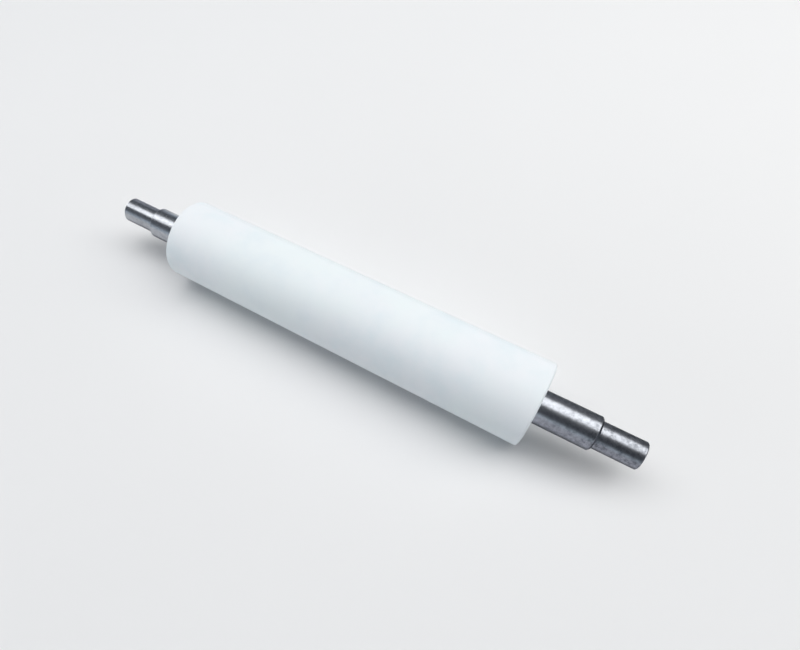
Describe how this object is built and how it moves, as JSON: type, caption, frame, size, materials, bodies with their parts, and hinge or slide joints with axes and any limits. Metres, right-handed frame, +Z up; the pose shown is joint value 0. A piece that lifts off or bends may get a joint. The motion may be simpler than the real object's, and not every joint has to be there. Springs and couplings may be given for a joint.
{
  "type": "silicone roller",
  "caption": "Straight roller with a thick white silicone cover on a turned steel shaft whose ends step down to bearing journals, to feed or press film and labels.",
  "frame": {"origin": "on the roller's axis, halfway along the steel bar", "axes": "+X along the roller's axis, towards the end with the longer shoulder; +Z up; +Y across"},
  "size_m": [0.349, 0.05, 0.05],
  "materials": {
    "turned_steel": "satin",
    "white_silicone": "matte"
  },
  "bodies": {
    "root": {"steel_shaft": "turned_steel", "silicone_cover": "white_silicone"}
  },
  "joints": []
}
